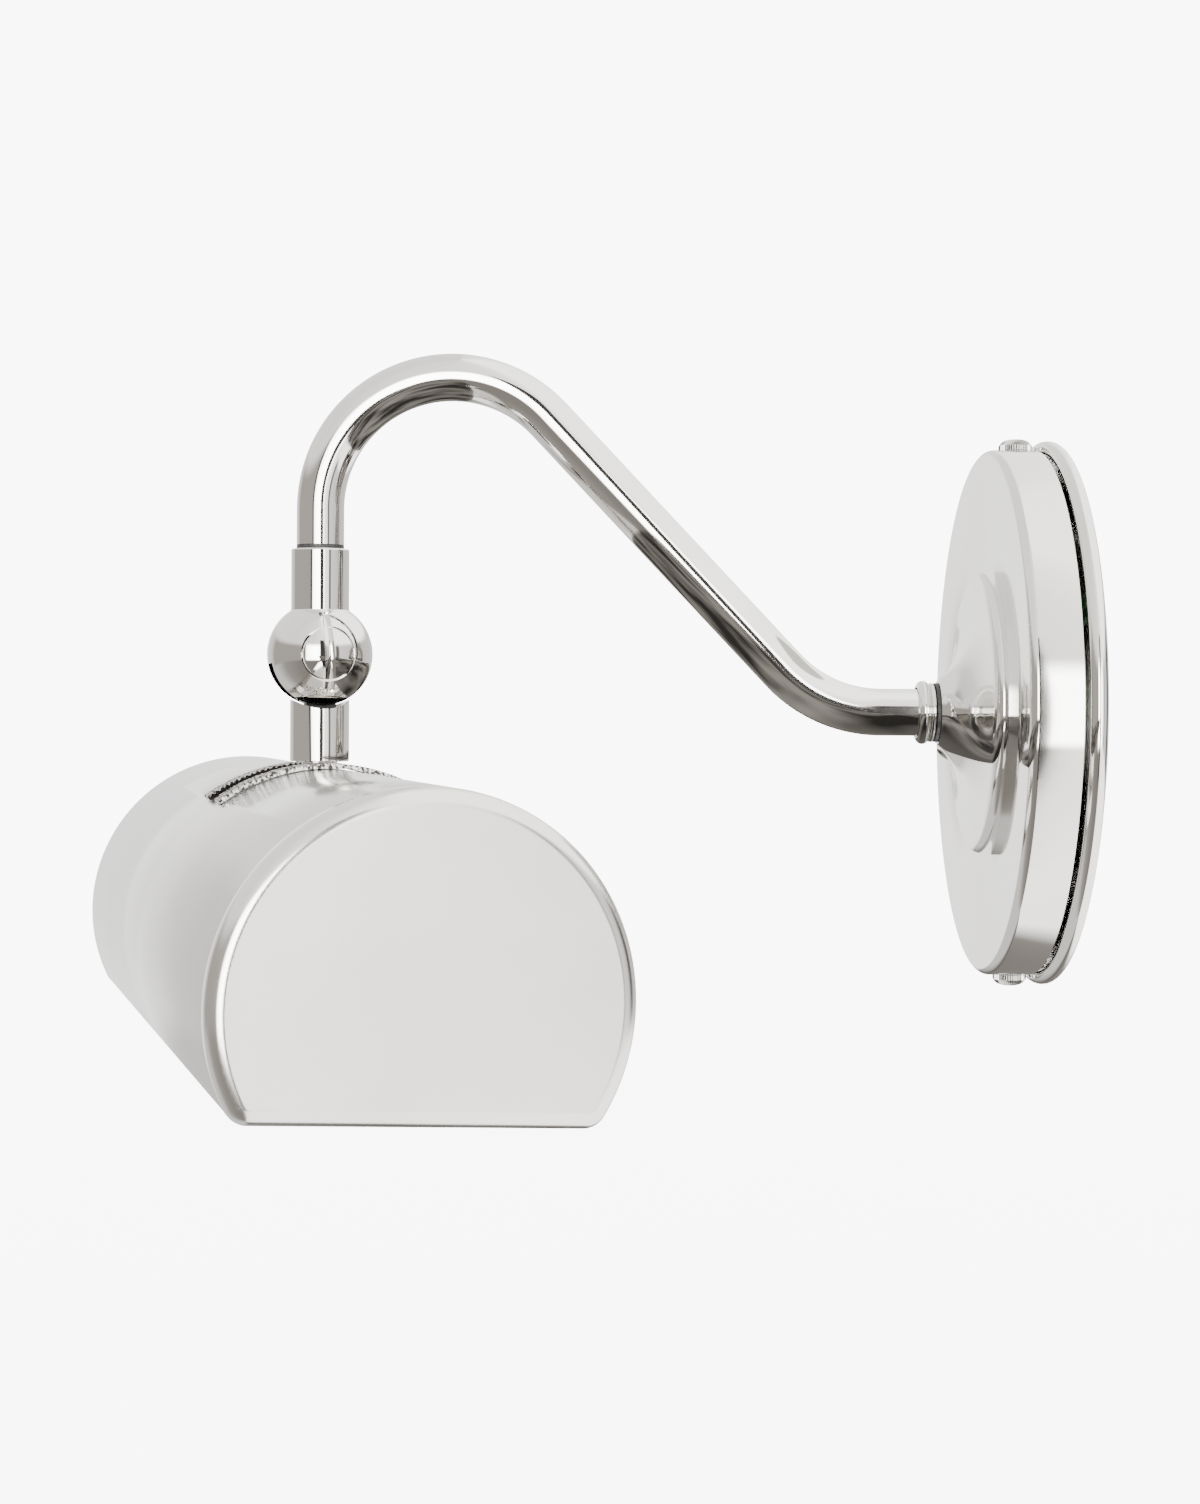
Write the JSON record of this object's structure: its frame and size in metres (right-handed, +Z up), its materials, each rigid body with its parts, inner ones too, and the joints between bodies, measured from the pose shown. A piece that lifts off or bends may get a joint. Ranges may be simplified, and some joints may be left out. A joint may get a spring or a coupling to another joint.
{
  "type": "gooseneck wall light with a swivelling head",
  "caption": "Polished nickel wall light: round canopy with a trumpet boss, bent tube arm, ball knuckle and long D-section shade that rolls on a toothed slot.",
  "frame": {"origin": "centre of the back plate, on the wall plane and in line with the arm where it enters the canopy", "axes": "+Y points into the wall, so the light stands out along -Y; +Z is up; +X is to the right for someone facing the wall, and the arm lies in the plane X = 0"},
  "size_m": [0.2688, 0.2759, 0.1864],
  "materials": {
    "polished_nickel": "polished nickel plate, warm grey, faint polishing lines",
    "zinc_steel": "zinc-plated steel, dull",
    "brass": "plain turned brass",
    "black_nylon": "moulded black nylon",
    "porcelain": "glazed porcelain",
    "green_screw": "green dyed steel"
  },
  "bodies": {
    "wall_mount": {"back_plate": "polished_nickel", "mounting_strap": "zinc_steel", "box_screw_top": "zinc_steel", "box_screw_bottom": "zinc_steel", "ground_screw": "green_screw", "canopy": "polished_nickel", "thumbscrew_top": "polished_nickel", "thumbscrew_bottom": "polished_nickel", "boss_nipple": "brass", "boss_lock_washer": "zinc_steel", "boss_nut": "zinc_steel", "swing_washer": "black_nylon"},
    "arm": {"ring_collar": "polished_nickel", "arm_tube": "polished_nickel", "tube_end_bush": "brass"},
    "knuckle": {"swivel_washer": "black_nylon", "ball_knuckle": "polished_nickel", "pivot_screw": "polished_nickel", "pivot_nut": "polished_nickel", "friction_washer_near": "black_nylon", "friction_washer_far": "black_nylon"},
    "head": {"tongue": "polished_nickel", "stem": "polished_nickel", "shade_nipple": "brass", "saddle_washer": "zinc_steel", "upper_nut": "zinc_steel", "lower_nut": "zinc_steel", "socket_bracket": "zinc_steel", "socket_cup": "polished_nickel", "socket_insulator": "porcelain", "socket_screw_shell": "brass", "centre_contact": "brass", "socket_screw": "zinc_steel"},
    "shade": {"shade_shell": "polished_nickel", "end_cap_near": "polished_nickel", "end_cap_far": "polished_nickel", "track_near": "polished_nickel", "track_far": "polished_nickel"}
  },
  "joints": [
    {"name": "arm_swing", "type": "hinge", "parent": "wall_mount", "child": "arm", "pos_m": [0, -0.034, 0], "axis": [0, 1, 0], "range_deg": [-90, 90]},
    {"name": "head_swivel", "type": "hinge", "parent": "arm", "child": "knuckle", "pos_m": [0, -0.1945, 0.0423], "axis": [0, 0, 1], "range_deg": [-106.7, 73.3]},
    {"name": "head_tilt", "type": "hinge", "parent": "knuckle", "child": "head", "pos_m": [0, -0.1945, 0.0143], "axis": [0.9578, 0.2874, 0], "range_deg": [-60, 40]},
    {"name": "shade_roll", "type": "hinge", "parent": "head", "child": "shade", "pos_m": [0, -0.1945, -0.064], "axis": [0.9578, 0.2874, 0], "range_deg": [-26.7, 33.3]}
  ]
}
